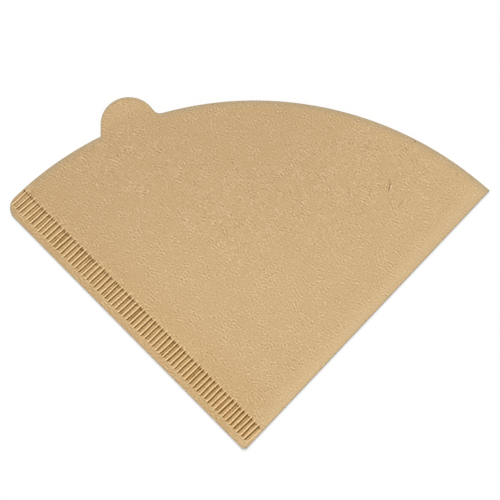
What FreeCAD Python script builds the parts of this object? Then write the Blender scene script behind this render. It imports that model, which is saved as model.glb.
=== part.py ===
import FreeCAD
import Part
import math
import os

# Paper filter for a cone dripper: one sheet folded in two and crimped along its cut edges,
# lying flat on its lower ply. Sizes are in millimetres and angles in degrees.
# +Y runs from the tip to the rim along the middle of the cone, and the fold lies towards +X.

# The sheet
PLY = 0.2               # thickness of one ply
TIP_ANGLE = 87.5        # angle at the tip, between the fold and the cut edge
RIM_RADIUS = 120.0      # rim arc, about the point of the paper cone
CORNER_RADIUS = 5.2     # rounded corner between the cut edge and the rim
TIP_NIP = 0.6           # length that the blunt tip has lost
FOLD_GAP = 0.16         # space between the plies inside the fold
MOUTH_LIFT = 1.0        # how far the upper ply stands off the lower in mid rim, beyond FOLD_GAP

# The pull tab on the rim, cut through both plies
TAB_RADIUS = 10.1
TAB_TURN = 22.4         # how far the tab is turned from the middle line, towards the cut edge
TAB_FILLET = 2.8        # root of the tab, on the side of the fold

# The crimped seam along the cut edge
SEAM_MARGIN = 3.0       # loose strip between the cut edge and the crimp
CRIMP_WIDTH = 6.3
CRIMP_PRESS = 0.1       # how far the crimp's floor is pressed below the upper ply
RIDGE_START = 1.0       # from the tip to the first ridge, along the cut edge
RIDGE_PITCH = 1.837
RIDGE_WIDTH = 1.1
RIDGE_CREST = 0.36      # width of a ridge's top
RIDGE_HEIGHT = 0.38
RIDGE_INSET = 0.1       # floor left free past each end of a ridge
RIDGE_SLOPE = 0.6       # length over which a ridge rises at each end
GROOVE_WIDTH = 0.8      # hollow in the underside, below each ridge
GROOVE_CREST = 0.24     # width of the hollow at its deepest
GROOVE_DEPTH = 0.28

# Directions in the plane of the sheet, and the points that the outline hangs on
HALF_TIP = math.radians(TIP_ANGLE / 2)
UP = FreeCAD.Vector(0, 0, 1)
TIP = FreeCAD.Vector(0, 0, 0)
ALONG_FOLD = FreeCAD.Vector(math.sin(HALF_TIP), math.cos(HALF_TIP), 0)
IN_FROM_FOLD = FreeCAD.Vector(-math.cos(HALF_TIP), math.sin(HALF_TIP), 0)
ALONG_EDGE = FreeCAD.Vector(-math.sin(HALF_TIP), math.cos(HALF_TIP), 0)
IN_FROM_EDGE = FreeCAD.Vector(math.cos(HALF_TIP), math.sin(HALF_TIP), 0)
ALONG_MIDDLE = FreeCAD.Vector(0, 1, 0)

SEAM_WIDTH = SEAM_MARGIN + CRIMP_WIDTH
CONE_POINT = TIP + ALONG_FOLD * (SEAM_WIDTH / math.sin(2 * HALF_TIP))
SHEET_TOP = 2 * PLY + FOLD_GAP
CRIMP_FLOOR = SHEET_TOP - CRIMP_PRESS
RIM_ALONG_EDGE = CONE_POINT.dot(ALONG_EDGE) + RIM_RADIUS

# Lengths that only need to run past the sheet
BEYOND = SEAM_MARGIN
REACH = RIM_RADIUS + 2 * TAB_RADIUS + SEAM_WIDTH
TALL = UP * (2 * BEYOND + SHEET_TOP + MOUTH_LIFT)


def from_cone_point(radius, turn):
    """The point at a radius from the cone's point, turned from the middle line to the cut edge."""
    angle = math.radians(turn)
    return CONE_POINT + FreeCAD.Vector(-math.sin(angle), math.cos(angle), 0) * radius


def turn_of(point):
    """The angle that a point is turned from the middle line, seen from the cone's point."""
    arm = point - CONE_POINT
    return math.degrees(math.atan2(-arm.x, arm.y))


def rim_arc(start_turn, end_turn):
    """The rim between two turns."""
    middle = from_cone_point(RIM_RADIUS, (start_turn + end_turn) / 2)
    start = from_cone_point(RIM_RADIUS, start_turn)
    end = from_cone_point(RIM_RADIUS, end_turn)
    return Part.Arc(start, middle, end).toShape()


def arc_about(centre, start, end, bulge):
    """A circular arc about a centre that passes on the side that bulge points to."""
    middle = centre + bulge * ((start - centre).Length / bulge.Length)
    return Part.Arc(start, middle, end).toShape()


def line(start, end):
    """A straight edge."""
    return Part.LineSegment(start, end).toShape()


def polygon(corners):
    """A flat face with straight sides."""
    return Part.Face(Part.makePolygon(corners + corners[:1]))


def outline_prism():
    """The cut outline of both plies as a tall prism. It stays clear of the fold's round back."""
    corner_out = RIM_RADIUS - CORNER_RADIUS
    corner_in = CONE_POINT.dot(IN_FROM_EDGE) - CORNER_RADIUS
    corner_along = CONE_POINT.dot(ALONG_EDGE) + math.sqrt(corner_out ** 2 - corner_in ** 2)
    corner = TIP + ALONG_EDGE * corner_along + IN_FROM_EDGE * CORNER_RADIUS
    corner_on_edge = corner - IN_FROM_EDGE * CORNER_RADIUS
    corner_turn = turn_of(corner)
    corner_on_rim = from_cone_point(RIM_RADIUS, corner_turn)

    tab = from_cone_point(RIM_RADIUS, TAB_TURN)
    tab_left = tab - FreeCAD.Vector(TAB_RADIUS, 0, 0)
    side_arm = tab_left.x - CONE_POINT.x
    tab_foot = FreeCAD.Vector(tab_left.x, CONE_POINT.y + math.sqrt(RIM_RADIUS ** 2 - side_arm ** 2), 0)

    root_out = RIM_RADIUS + TAB_FILLET
    root_from_tab = TAB_RADIUS + TAB_FILLET
    root_cosine = (RIM_RADIUS ** 2 + root_out ** 2 - root_from_tab ** 2) / (2 * RIM_RADIUS * root_out)
    root_turn = TAB_TURN - math.degrees(math.acos(root_cosine))
    root = from_cone_point(root_out, root_turn)
    root_on_rim = from_cone_point(RIM_RADIUS, root_turn)
    root_on_tab = tab + (root - tab) * (TAB_RADIUS / root_from_tab)

    past_fold_turn = -TIP_ANGLE / 2 - math.degrees(BEYOND / RIM_RADIUS)
    rim_past_fold = from_cone_point(RIM_RADIUS, past_fold_turn)
    nip_on_edge = TIP + ALONG_EDGE * (TIP_NIP / math.cos(HALF_TIP))
    nip_past_fold = nip_on_edge + FreeCAD.Vector(BEYOND, 0, 0)

    edges = [
        line(nip_on_edge, corner_on_edge),
        arc_about(corner, corner_on_edge, corner_on_rim, ALONG_EDGE - IN_FROM_EDGE),
        rim_arc(corner_turn, turn_of(tab_foot)),
        line(tab_foot, tab_left),
        arc_about(tab, tab_left, root_on_tab, ALONG_MIDDLE),
        arc_about(root, root_on_tab, root_on_rim, (root_on_tab + root_on_rim) * 0.5 - root),
        rim_arc(root_turn, past_fold_turn),
        line(rim_past_fold, nip_past_fold),
        line(nip_past_fold, nip_on_edge),
    ]
    face = Part.Face(Part.Wire(edges))
    face.translate(UP * -BEYOND)
    return face.extrude(TALL)


def seam_zone(start, end):
    """A tall prism between two distances from the cut edge."""
    corners = [
        ALONG_EDGE * along + IN_FROM_EDGE * inwards - UP * BEYOND
        for along, inwards in ((-REACH, start), (REACH, start), (REACH, end), (-REACH, end))
    ]
    return polygon(corners).extrude(TALL)


def at_fold_section(inwards, height):
    """A point of the section square to the fold, well behind the tip."""
    return TIP - ALONG_FOLD * REACH + IN_FROM_FOLD * inwards + UP * height


def strip_along_fold(start, bottom, top):
    """A flat ply parallel to the fold, from a distance inwards of it to past the far edge."""
    corners = [
        at_fold_section(start, bottom),
        at_fold_section(REACH, bottom),
        at_fold_section(REACH, top),
        at_fold_section(start, top),
    ]
    return polygon(corners).extrude(ALONG_FOLD * (2 * REACH))


def round_back(radius, height):
    """A half-round bar along the fold, of a radius about the middle of a sheet of that height."""
    centre = at_fold_section(height / 2, height / 2)
    below = centre - UP * radius
    above = centre + UP * radius
    arc = Part.Arc(below, centre - IN_FROM_FOLD * radius, above).toShape()
    return Part.Face(Part.Wire([arc, line(above, below)])).extrude(ALONG_FOLD * (2 * REACH))


def pocket_upper_ply():
    """The upper ply over the pocket. It leaves the fold and the seam level and lifts to the rim."""
    fold_start = (SHEET_TOP / 2) / math.sin(2 * HALF_TIP)
    mid_rim = RIM_RADIUS / (2 * math.cos(HALF_TIP))
    far_lift = MOUTH_LIFT * REACH * (REACH - fold_start) / mid_rim ** 2
    seam_at_fold = CONE_POINT + ALONG_EDGE * fold_start + UP * (PLY + FOLD_GAP)
    seam_far = CONE_POINT + ALONG_EDGE * REACH + UP * (PLY + FOLD_GAP)
    seam_line = line(seam_at_fold, seam_far)
    rim_line = line(
        seam_at_fold + ALONG_FOLD * REACH,
        seam_far + ALONG_FOLD * REACH + UP * far_lift,
    )
    return Part.makeRuledSurface(seam_line, rim_line).extrude(UP * PLY)


def crimp_bar(width, crest, height, base):
    """One bar of the crimp at the tip, with a flat crest and all four sides sloping down."""
    start = SEAM_MARGIN + RIDGE_INSET
    run = IN_FROM_EDGE * (SEAM_WIDTH - RIDGE_INSET - start)
    rise = IN_FROM_EDGE * RIDGE_SLOPE
    foot = TIP + IN_FROM_EDGE * start + UP * base
    top = foot + UP * height
    side = ALONG_EDGE * (width / 2)
    top_side = ALONG_EDGE * (crest / 2)
    across = [foot - side, top - top_side, top + top_side, foot + side]
    along = [foot - side, foot - side + run, top - side + run - rise, top - side + rise]
    return polygon(across).extrude(run).common(polygon(along).extrude(side * 2))


def crimp_row(bar):
    """Copies of a bar at every pitch, from the first ridge to the last that the rim leaves room for."""
    room = RIM_ALONG_EDGE - RIDGE_START - RIDGE_WIDTH / 2
    copies = []
    for index in range(int(room / RIDGE_PITCH) + 1):
        copy = bar.copy()
        copy.translate(ALONG_EDGE * (RIDGE_START + index * RIDGE_PITCH))
        copies.append(copy)
    return copies


def paper_filter():
    """The whole folded sheet as one solid, with the middle of its underside at the origin."""
    back = round_back(SHEET_TOP / 2, SHEET_TOP).cut(round_back(FOLD_GAP / 2, SHEET_TOP))
    lower_ply = strip_along_fold(SHEET_TOP / 2, 0, PLY)
    upper_ply = strip_along_fold(SHEET_TOP / 2, PLY + FOLD_GAP, SHEET_TOP)
    margin = lower_ply.fuse([back, upper_ply]).common(seam_zone(-BEYOND, SEAM_MARGIN))

    pressed = strip_along_fold(CRIMP_FLOOR / 2, 0, CRIMP_FLOOR)
    crimp = pressed.fuse(round_back(CRIMP_FLOOR / 2, CRIMP_FLOOR))
    crimp = crimp.common(seam_zone(SEAM_MARGIN, SEAM_WIDTH)).removeSplitter()
    crimp = crimp.fuse(crimp_row(crimp_bar(RIDGE_WIDTH, RIDGE_CREST, RIDGE_HEIGHT, CRIMP_FLOOR)))
    crimp = crimp.cut(crimp_row(crimp_bar(GROOVE_WIDTH, GROOVE_CREST, GROOVE_DEPTH, 0)))

    pocket = lower_ply.fuse(back).common(seam_zone(SEAM_WIDTH, REACH))
    sheet = pocket.fuse([pocket_upper_ply(), margin, crimp])
    sheet = sheet.common(outline_prism()).removeSplitter()

    box = sheet.optimalBoundingBox(False)
    sheet.translate(FreeCAD.Vector(-box.Center.x, -box.Center.y, 0))
    return sheet


os.makedirs("parts", exist_ok=True)
result = paper_filter()
solid = result.Solids[0]
print("solids", len(result.Solids), "valid", solid.isValid(), "volume", round(solid.Volume, 2))
print("faces", len(solid.Faces), "box", solid.optimalBoundingBox(False))
solid.exportStep(os.path.join("parts", "paper_filter.step"))
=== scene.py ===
"""Looks of a paper filter for a cone dripper: one sheet, folded in two, crimped and lying flat.

Lengths are in metres in the row frame. +Y runs from the tip to the rim along the middle of the
cone, the fold lies towards +X and the crimped cut edge towards -X.
"""

import logging
import math
import random
from collections.abc import Iterable
from dataclasses import dataclass, field
from enum import Enum

import bmesh
import bpy
from mathutils import Matrix, Vector, kdtree, noise

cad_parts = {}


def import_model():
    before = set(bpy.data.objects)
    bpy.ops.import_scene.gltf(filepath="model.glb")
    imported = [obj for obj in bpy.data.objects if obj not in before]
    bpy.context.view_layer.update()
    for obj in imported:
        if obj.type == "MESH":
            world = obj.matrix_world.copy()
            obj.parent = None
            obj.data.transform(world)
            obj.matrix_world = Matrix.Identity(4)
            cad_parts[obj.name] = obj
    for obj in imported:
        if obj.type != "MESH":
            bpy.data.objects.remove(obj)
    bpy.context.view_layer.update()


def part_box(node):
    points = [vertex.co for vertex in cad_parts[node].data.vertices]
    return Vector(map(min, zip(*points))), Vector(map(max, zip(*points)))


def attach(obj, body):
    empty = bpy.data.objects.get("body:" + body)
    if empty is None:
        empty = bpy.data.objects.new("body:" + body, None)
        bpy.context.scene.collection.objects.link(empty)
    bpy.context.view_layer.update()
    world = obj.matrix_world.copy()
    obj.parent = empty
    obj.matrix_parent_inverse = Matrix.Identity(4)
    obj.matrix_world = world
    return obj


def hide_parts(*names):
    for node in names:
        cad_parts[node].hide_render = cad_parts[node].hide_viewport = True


LOG = logging.getLogger("paper_filter")
MM = 0.001
UP = Vector((0.0, 0.0, 1.0))
NODE = "paper_filter"

Colour = tuple[float, float, float, float]
Feed = bpy.types.NodeSocket | float | Vector | Colour


def between(first: float, second: float, share: float) -> float:
    """The number at a share of the way from the first to the second."""
    return first + (second - first) * share


def smooth_step(value: float) -> float:
    """Eases a share from 0 to 1, and holds it at both ends.

    Args:
        value: The share, which may lie outside 0 to 1.

    Returns:
        The eased share.
    """
    held = min(max(value, 0.0), 1.0)
    return held * held * (3.0 - 2.0 * held)


def srgb(red: int, green: int, blue: int) -> Colour:
    """Turns a colour of 0 to 255, as a screen shows it, into the linear one that a shader takes.

    Args:
        red: Red, from 0 to 255.
        green: Green, from 0 to 255.
        blue: Blue, from 0 to 255.

    Returns:
        The linear colour with an alpha of 1.
    """
    shares = [channel / 255.0 for channel in (red, green, blue)]
    linear = [s / 12.92 if s <= 0.04045 else ((s + 0.055) / 1.055) ** 2.4 for s in shares]
    return (linear[0], linear[1], linear[2], 1.0)


def grey(level: float) -> Colour:
    """The grey of one linear level."""
    return (level, level, level, 1.0)


def heading(turn: float) -> Vector:
    """The direction at an angle from the middle line, towards the cut edge."""
    return Vector((-math.sin(turn), math.cos(turn), 0.0))


def laid_flat(place: Vector) -> Vector:
    """The same place at height 0."""
    return Vector((place.x, place.y, 0.0))


def of_kind(items: Iterable, kind: type) -> list:
    """The items of one kind, such as the points, among all that an operator gives back."""
    return [item for item in items if isinstance(item, kind)]


def extrude_row(
    mesh: bmesh.types.BMesh, edges: list[bmesh.types.BMEdge],
) -> tuple[list[bmesh.types.BMVert], list[bmesh.types.BMEdge]]:
    """Extrudes a chain of edges by one row, which still lies on the old one.

    Args:
        mesh: The mesh.
        edges: The chain.

    Returns:
        The new row's points and edges.
    """
    result = bmesh.ops.extrude_edge_only(mesh, edges=edges)["geom"]
    points = of_kind(result, bmesh.types.BMVert)
    drawn = of_kind(result, bmesh.types.BMEdge)
    return points, [edge for edge in drawn if all(p in points for p in edge.verts)]


def put_in_scene(name: str, data: bpy.types.ID) -> bpy.types.Object:
    """Puts a mesh, a lamp or a camera into the scene.

    Args:
        name: Its name there.
        data: What it is.

    Returns:
        The object that holds it, at the origin.
    """
    item = bpy.data.objects.new(name, data)
    bpy.context.scene.collection.objects.link(item)
    return item


def mesh_in_scene(name: str, mesh: bmesh.types.BMesh) -> bpy.types.Object:
    """Ends the work on a mesh and puts it into the scene.

    Args:
        name: Its name there.
        mesh: The mesh, which is freed.

    Returns:
        The object that holds it.
    """
    data = bpy.data.meshes.new(name)
    mesh.to_mesh(data)
    mesh.free()
    return put_in_scene(name, data)


class Surface(Enum):
    """The four faces of the folded sheet, from the top down.

    Each holds its height on plain paper, on the crimp's floor and on a ridge's crest, and how wide a
    ridge is in it as a share of its width in the top face.
    """

    TOP = (0.56 * MM, 0.36 * MM, 0.77 * MM, 1.0)
    CEILING = (0.36 * MM, 0.19 * MM, 0.58 * MM, 0.86)
    FLOOR = (0.20 * MM, 0.17 * MM, 0.50 * MM, 0.76)
    UNDERSIDE = (0.0, 0.0, 0.31 * MM, 0.66)

    @property
    def level(self) -> float:
        """The height of the face where nothing is pressed or lifted."""
        return self.value[0]

    @property
    def floor(self) -> float:
        """The height of the face on the crimp's floor."""
        return self.value[1]

    @property
    def crest(self) -> float:
        """The height of the face on a ridge's crest."""
        return self.value[2]

    @property
    def width_share(self) -> float:
        """How wide a ridge is in this face, against the top one."""
        return self.value[3]

    @property
    def on_upper_ply(self) -> bool:
        """Whether the face belongs to the upper ply."""
        return self in (Surface.TOP, Surface.CEILING)


class Mark(Enum):
    """What the sheet notes at each of its points, as a share, for its finish to read.

    The groove and the flank of the crimp may be noted a little stronger than 1.
    """

    # Painted highlight: the lighter strip along the fold.
    FOLD_WEAR = "fold_wear"
    # Painted shade: a darker grey line along the cut edges.
    CUT_WEAR = "cut_wear"
    # Partly the browning of the pressed floor, partly painted shade in the recess between the ridges.
    CRIMP_FLOOR = "crimp_floor"
    # Painted shade in a browner hue: along each ridge's steep foot, beside each crease and at the floor's
    # inner end wall.
    CRIMP_GROOVE = "crimp_groove"
    # Painted highlight on each ridge's lit gentle side.
    CRIMP_FLANK = "crimp_flank"
    # Painted shade: the paper darker towards the rim.
    RIM_TONE = "rim_tone"
    SEAM_TONE = "seam_tone"


class Ramp(Enum):
    """How mapped values run between the two ends of their range."""

    SMOOTH = "SMOOTHSTEP"
    STRAIGHT = "LINEAR"


class Blend(Enum):
    """How one colour goes over another."""

    COVER = "MIX"
    TINT = "MULTIPLY"


@dataclass(frozen=True)
class SheetPlan:
    """The cut, the seam and the fold of the sheet, as they lie in the plane."""

    tip: Vector
    tip_angle: float = math.radians(87.5)
    tip_nip: float = 0.6 * MM
    rim_radius: float = 120.0 * MM
    corner_radius: float = 5.2 * MM
    seam_margin: float = 2.7 * MM
    crimp_width: float = 6.6 * MM
    crimp_overrun: float = 0.85 * MM
    fold_radius: float = 0.28 * MM

    @classmethod
    def from_node(cls, node: str) -> "SheetPlan":
        """Places the plan in the box of a node of the frame.

        Args:
            node: The node's name.

        Returns:
            The plan, with the sharp tip where the two straight edges would meet.
        """
        low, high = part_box(node)
        half_tip = cls.tip_angle / 2.0
        fold_length = cls.rim_radius + (cls.seam_margin + cls.crimp_width) / math.sin(cls.tip_angle)
        return cls(tip=Vector((high.x - math.sin(half_tip) * fold_length, low.y - cls.tip_nip, 0.0)))

    @property
    def half_tip(self) -> float:
        """Half the angle at the tip."""
        return self.tip_angle / 2.0

    @property
    def seam_width(self) -> float:
        """The width of the loose margin and the crimp together."""
        return self.seam_margin + self.crimp_width

    @property
    def crimp_end(self) -> float:
        """The distance from the cut edge at which the last trace of the ridges ends."""
        return self.seam_width + self.crimp_overrun

    @property
    def along_fold(self) -> Vector:
        """The direction from the tip along the fold."""
        return heading(-self.half_tip)

    @property
    def in_from_fold(self) -> Vector:
        """The direction square to the fold, into the sheet."""
        return Vector((-math.cos(self.half_tip), math.sin(self.half_tip), 0.0))

    @property
    def along_edge(self) -> Vector:
        """The direction from the tip along the cut edge."""
        return heading(self.half_tip)

    @property
    def in_from_edge(self) -> Vector:
        """The direction square to the cut edge, into the sheet."""
        return Vector((math.cos(self.half_tip), math.sin(self.half_tip), 0.0))

    @property
    def cone_point(self) -> Vector:
        """The point of the paper cone, where the seam's inner line meets the fold."""
        return self.tip + self.along_fold * (self.seam_width / math.sin(self.tip_angle))

    @property
    def crimp_point(self) -> Vector:
        """The point where the line along the ridges' inner ends meets the fold."""
        return self.tip + self.along_fold * (self.crimp_end / math.sin(self.tip_angle))

    def polar(self, radius: float, turn: float) -> Vector:
        """The point at a radius from the cone's point.

        Args:
            radius: The distance from the cone's point.
            turn: The angle from the middle line, towards the cut edge.

        Returns:
            The point in the plane of the sheet.
        """
        return self.cone_point + heading(turn) * radius

    def turn_of(self, point: Vector, centre: Vector | None = None) -> float:
        """The angle of a point from the middle line.

        Args:
            point: The point.
            centre: Where it is seen from, or None for the cone's point.

        Returns:
            The angle, which grows towards the cut edge.
        """
        arm = point - (self.cone_point if centre is None else centre)
        return math.atan2(-arm.x, arm.y)

    def to_rim(self, turn: float) -> float:
        """How far the rim is from the crimp's point.

        Args:
            turn: The direction, as an angle from the middle line towards the cut edge.

        Returns:
            The distance.
        """
        aside = self.crimp_point - self.cone_point
        along = aside.dot(heading(turn))
        return math.sqrt(self.rim_radius ** 2 - aside.length_squared + along ** 2) - along

    def from_edge(self, point: Vector) -> tuple[float, float]:
        """Where a point lies against the cut edge.

        Args:
            point: A point of the sheet.

        Returns:
            The distance from the tip along the edge, and the distance in from it.
        """
        arm = point - self.tip
        return arm.dot(self.along_edge), arm.dot(self.in_from_edge)

    def from_fold(self, point: Vector) -> float:
        """The distance of a point from the fold, into the sheet."""
        return (point - self.tip).dot(self.in_from_fold)


@dataclass(frozen=True)
class Ridge:
    """One ridge of the crimp, and the crease in the valley after it."""

    along: float
    start: float
    end: float
    vigour: float
    lean: float
    crease_along: float
    crease_height: float


@dataclass
class Crimp:
    """The row of pressed ridges that joins the two plies along the cut edge.

    A ridge is steep on its side towards the tip and gentle on its side towards the rim, and a small
    crease lies on the floor between each two.
    """

    plan: SheetPlan
    first_ridge: float = 0.95 * MM
    pitch: float = 1.804 * MM
    pitch_growth: float = 0.00055 * MM
    count: int = 65
    steep_side: float = 0.36 * MM
    gentle_side: float = 0.52 * MM
    floor_ramp: float = 0.42 * MM
    inner_ramp: float = 0.40 * MM
    outer_ramp: float = 0.60 * MM
    end_inset: float = 0.08 * MM
    end_overrun: float = 0.36 * MM
    end_lift: float = 0.20 * MM
    end_lift_reach: float = 0.7 * MM
    end_flare: float = 0.40 * MM
    end_spread: float = 0.12 * MM
    place_spread: float = 0.06 * MM
    lean_spread: float = 0.03
    vigour_at_tip: float = 1.20
    vigour_at_rim: float = 0.96
    vigour_spread: float = 0.26
    last_vigour: float = 0.6
    stir_share: float = 0.16
    wander: float = 0.11 * MM
    wander_length: float = 1.7 * MM
    crease_place: float = 0.12 * MM
    crease_spread: float = 0.20 * MM
    crease_half_width: float = 0.22 * MM
    crease_height: float = 0.32 * MM
    crease_end_gain: float = 0.6
    # Painted shade beside each crease, along each ridge's shadowed steep foot and at the floor's inner end
    # wall.
    crease_shadow: float = 2.2 / MM
    groove_place: float = -0.22 * MM
    groove_half_width: float = 0.28 * MM
    end_wall_place: float = -0.22 * MM
    end_wall_half_width: float = 0.36 * MM
    end_wall_share: float = 0.25
    # How strong the painted groove shade is by the tip and by the rim.
    groove_shade_at_tip: float = 1.30
    groove_shade_at_rim: float = 0.58
    # Painted highlight on each ridge's lit gentle side: how strong by the tip and by the rim, where it lies
    # and how wide it is.
    flank_highlight_at_tip: float = 0.5
    flank_highlight_at_rim: float = 1.4
    flank_highlight_place: float = 0.34 * MM
    flank_highlight_half_width: float = 0.30 * MM
    bare_place: float = 0.27 * MM
    bare_half_width: float = 0.75 * MM
    fold_ease: float = 1.2 * MM
    inner_rows: tuple[float, ...] = tuple(
        step * MM for step in (0.0, 0.25, 0.45, 0.65, 0.8, 0.95, 1.15, 1.4)
    )
    middle_rows: int = 3
    outer_rows: tuple[float, ...] = tuple(
        step * MM for step in (0.85, 0.55, 0.35, 0.15, 0.0, -0.2, -0.4, -0.6)
    )
    margin_rows: tuple[float, ...] = (1.0 * MM, 0.45 * MM, 0.2 * MM, 0.0)
    ridge_stir: float = 0.5
    crease_stir: float = 7.5
    seed: int = 31
    ridges: list[Ridge] = field(init=False)

    def __post_init__(self) -> None:
        """Draws each ridge a little unlike the others."""
        draw = random.Random(self.seed)
        self.ridges = [self._ridge(index, draw) for index in range(self.count)]

    def place_of(self, index: float) -> float:
        """Where a ridge would stand if it were even, as a distance from the tip along the edge.

        Args:
            index: Its number, counted from the tip. A valley lies at a half.

        Returns:
            The distance.
        """
        return self.first_ridge + index * (self.pitch + self.pitch_growth * index)

    def index_at(self, along: float) -> float:
        """The number that place_of turns into a distance.

        Args:
            along: The distance from the tip along the edge.

        Returns:
            The number, with its share of a pitch.
        """
        grown = self.pitch ** 2 + 4.0 * self.pitch_growth * (along - self.first_ridge)
        return (math.sqrt(grown) - self.pitch) / (2.0 * self.pitch_growth)

    def _ridge(self, index: int, draw: random.Random) -> Ridge:
        """Draws one ridge.

        Args:
            index: Its number, counted from the tip.
            draw: The source of its small differences.

        Returns:
            The ridge.
        """
        valley = self.place_of(index + 0.5)
        full = between(self.vigour_at_tip, self.vigour_at_rim, index / self.count)
        if index == self.count - 1:
            full = self.last_vigour
        return Ridge(
            along=self.place_of(index) + draw.uniform(-1, 1) * self.place_spread,
            start=self.plan.seam_margin + self.end_inset + draw.uniform(-1, 1) * self.end_spread,
            end=self.plan.seam_width + self.end_overrun + draw.uniform(-1, 1) * self.end_spread,
            vigour=full - draw.uniform(0, 1) * self.vigour_spread,
            lean=draw.uniform(-1, 1) * self.lean_spread,
            crease_along=valley + self.crease_place + draw.uniform(-1, 1) * self.crease_spread,
            crease_height=draw.uniform(0, 1) * self.crease_height,
        )

    def valleys(self) -> list[float]:
        """The middle of each valley, as a distance from the tip along the cut edge."""
        return [self.place_of(index + 0.5) for index in range(self.count)]

    def rows(self) -> list[float]:
        """Places the rows of points across the seam, close together where the ridges end.

        Returns:
            Their distances from the cut edge, the inner side first.
        """
        near_inner = [self.plan.crimp_end - step for step in self.inner_rows]
        near_outer = [self.plan.seam_margin + step for step in self.outer_rows]
        shares = [row / (self.middle_rows + 1) for row in range(1, self.middle_rows + 1)]
        middle = [between(near_inner[-1], near_outer[0], share) for share in shares]
        return near_inner + middle + near_outer + list(self.margin_rows)

    def _nearest(self, along: float) -> Ridge:
        """The ridge whose crest is the nearest one along the edge."""
        return self.ridges[min(max(round(self.index_at(along)), 0), self.count - 1)]

    def _stir(self, ridge: Ridge, inwards: float, layer: float) -> float:
        """How far a ridge, or the crease after it, strays at a distance from the edge: about 0."""
        return noise.noise(Vector((inwards / self.wander_length, ridge.along / MM, layer)))

    def _crease(self, along: float, inwards: float, shift: float = 0.0) -> float:
        """The height of the crease in the valley.

        Args:
            along: A point's distance from the tip along the edge.
            inwards: Its distance in from the edge.
            shift: How far towards the rim of the point to look.

        Returns:
            The height, before the crimp's ends take from it.
        """
        before = min(max(math.floor(self.index_at(along)), 0), self.count - 1)
        ridge = self.ridges[before]
        stir = self._stir(ridge, inwards, self.crease_stir)
        offset = along + shift - ridge.crease_along - self.wander * stir
        gain = 1.0 + self.crease_end_gain * self._to_end(inwards) + stir
        return self._swell(offset, self.crease_half_width) * ridge.crease_height * gain

    def _to_end(self, inwards: float) -> float:
        """How near a point is to the crimp's inner end: 0 in the crimp, 1 at that end and past it."""
        return smooth_step((inwards - self.plan.seam_width) / self.end_lift_reach + 1.0)

    def _offset(self, ridge: Ridge, along: float, inwards: float) -> tuple[float, float]:
        """Where a point lies beside a ridge.

        Args:
            ridge: The ridge.
            along: The point's distance from the tip along the edge.
            inwards: Its distance in from the edge.

        Returns:
            The distance from the crest towards the rim, and how far the ridge wanders there.
        """
        middle = (self.plan.seam_margin + self.plan.seam_width) / 2.0
        stir = self._stir(ridge, inwards, self.ridge_stir)
        return along - ridge.along - ridge.lean * (inwards - middle) - self.wander * stir, stir

    def _ends(self, ridge: Ridge, offset: float, inwards: float) -> float:
        """How much of a ridge stands at a distance from the edge: it fades at both ends.

        Args:
            ridge: The ridge.
            offset: The distance from its crest, whose gentle side reaches further.
            inwards: The distance in from the cut edge.

        Returns:
            1 between the ends, and 0 beyond them.
        """
        across = (offset + self.steep_side) / (self.steep_side + self.gentle_side)
        flare = smooth_step(across) * self.end_flare
        outer = smooth_step((inwards - ridge.start + flare) / self.outer_ramp + 0.5)
        inner = smooth_step((ridge.end + flare - inwards) / self.inner_ramp + 0.5)
        return outer * inner

    def _swell(self, offset: float, half_width: float) -> float:
        """The rounded section of a ridge or a crease.

        Args:
            offset: The distance from its crest.
            half_width: The distance from its crest to its foot.

        Returns:
            1 at its crest, 0 at its foot and beyond.
        """
        if abs(offset) >= half_width:
            return 0.0
        return math.cos(math.pi / 2.0 * offset / half_width) ** 2

    def _pressed(self, point: Vector, inwards: float) -> float:
        """How deep the crimp's floor is pressed.

        Args:
            point: A point of the sheet.
            inwards: Its distance in from the cut edge.

        Returns:
            0 outside the crimp, 1 on its floor.
        """
        outer = smooth_step((inwards - self.plan.seam_margin) / self.floor_ramp + 0.5)
        inner = smooth_step((self.plan.seam_width - inwards) / self.floor_ramp + 0.5)
        return outer * inner * self._from_fold(point)

    def _from_fold(self, point: Vector) -> float:
        """Fades the crimp out at the fold."""
        return smooth_step((self.plan.from_fold(point) - self.plan.fold_radius) / self.fold_ease)

    def height(self, point: Vector, surface: Surface) -> float:
        """The height of a point of one face of the sheet, where the mouth isn't lifted.

        Args:
            point: A point of the sheet.
            surface: The face that it lies on.

        Returns:
            The height above what the sheet lies on.
        """
        along, inwards = self.plan.from_edge(point)
        if inwards > self.plan.crimp_end:
            return surface.level
        ridge = self._nearest(along)
        offset, stir = self._offset(ridge, along, inwards)
        floor = surface.level + (surface.floor - surface.level) * self._pressed(point, inwards)
        side = self.steep_side if offset < 0.0 else self.gentle_side
        share = self._swell(offset, side * surface.width_share) * (ridge.vigour + self.stir_share * stir)
        crest = surface.crest + self.end_lift * self._to_end(inwards)
        ends = self._ends(ridge, offset, inwards) * self._from_fold(point)
        return floor + ends * (share * (crest - floor) + self._crease(along, inwards))

    def tints(self, point: Vector) -> tuple[float, float, float]:
        """How far the crimp tints the paper's colour: with browning and painted shade, and with a painted
        highlight.

        Args:
            point: A point of the sheet.

        Returns:
            The pressed floor's browning and painted shade, the painted shade along the groove at a ridge's
            steep foot, beside its crease and at the floor's inner end wall, and the painted highlight on a
            ridge's gentle side, as shares.
        """
        along, inwards = self.plan.from_edge(point)
        if inwards > self.plan.crimp_end:
            return 0.0, 0.0, 0.0
        ridge = self._nearest(along)
        offset = self._offset(ridge, along, inwards)[0]
        ends = self._ends(ridge, offset, inwards) * self._from_fold(point)
        bare = self._swell(offset - self.bare_place, self.bare_half_width)
        floor = self._pressed(point, inwards) * (1.0 - bare)
        groove = self._swell(offset - self.groove_place, self.groove_half_width) * ridge.vigour
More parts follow.
